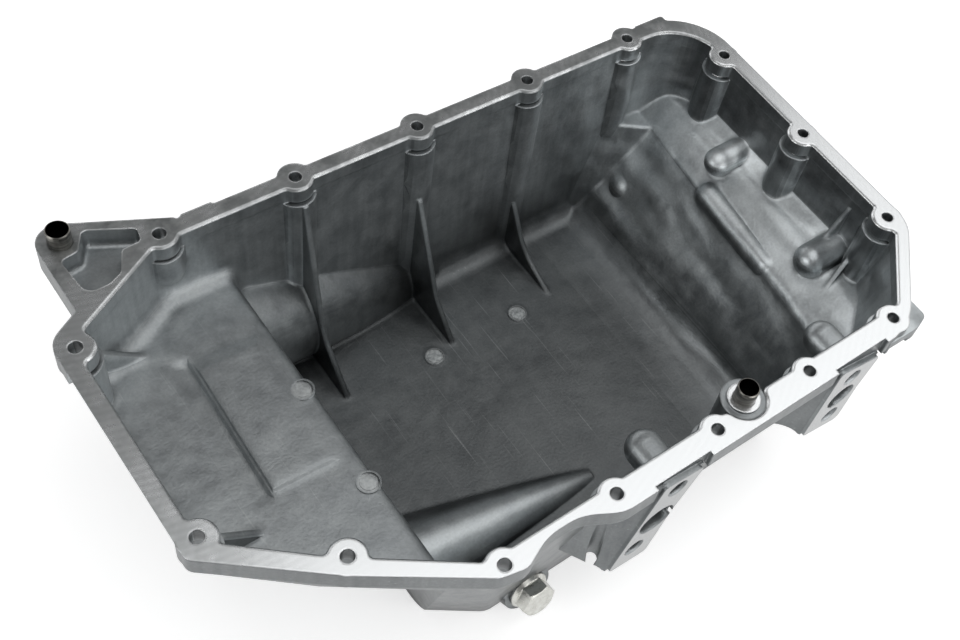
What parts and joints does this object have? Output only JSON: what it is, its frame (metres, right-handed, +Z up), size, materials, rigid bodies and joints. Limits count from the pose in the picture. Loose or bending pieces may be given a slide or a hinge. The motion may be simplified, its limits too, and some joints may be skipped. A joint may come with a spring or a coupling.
{
  "type": "engine oil pan",
  "caption": "Cast aluminium engine oil pan with a deep sump, a shallow shelf, a bolted gasket rail, locating sleeves and a drain plug.",
  "frame": {"origin": "middle of the overall length and width, at the underside of the sump", "axes": "+X along the crankshaft towards the raised ledge, +Y towards the ribbed far wall, +Z up through the gasket face"},
  "size_m": [0.4378, 0.283, 0.158],
  "materials": {
    "cast_aluminium": "pressure-cast, gasket face milled",
    "sleeve_steel": "rolled spring steel",
    "plug_steel": "zinc plated",
    "washer_aluminium": "plain"
  },
  "bodies": {
    "pan": {"oil_pan_casting": "cast_aluminium", "left_dowel_sleeve": "sleeve_steel", "right_dowel_sleeve": "sleeve_steel"},
    "plug": {"drain_plug": "plug_steel", "drain_plug_washer": "washer_aluminium"}
  },
  "joints": [
    {"name": "drain_plug_removal", "type": "slide", "parent": "pan", "child": "plug", "axis": [0, -0.9744, 0.225], "range_m": [0, 0.03]}
  ]
}
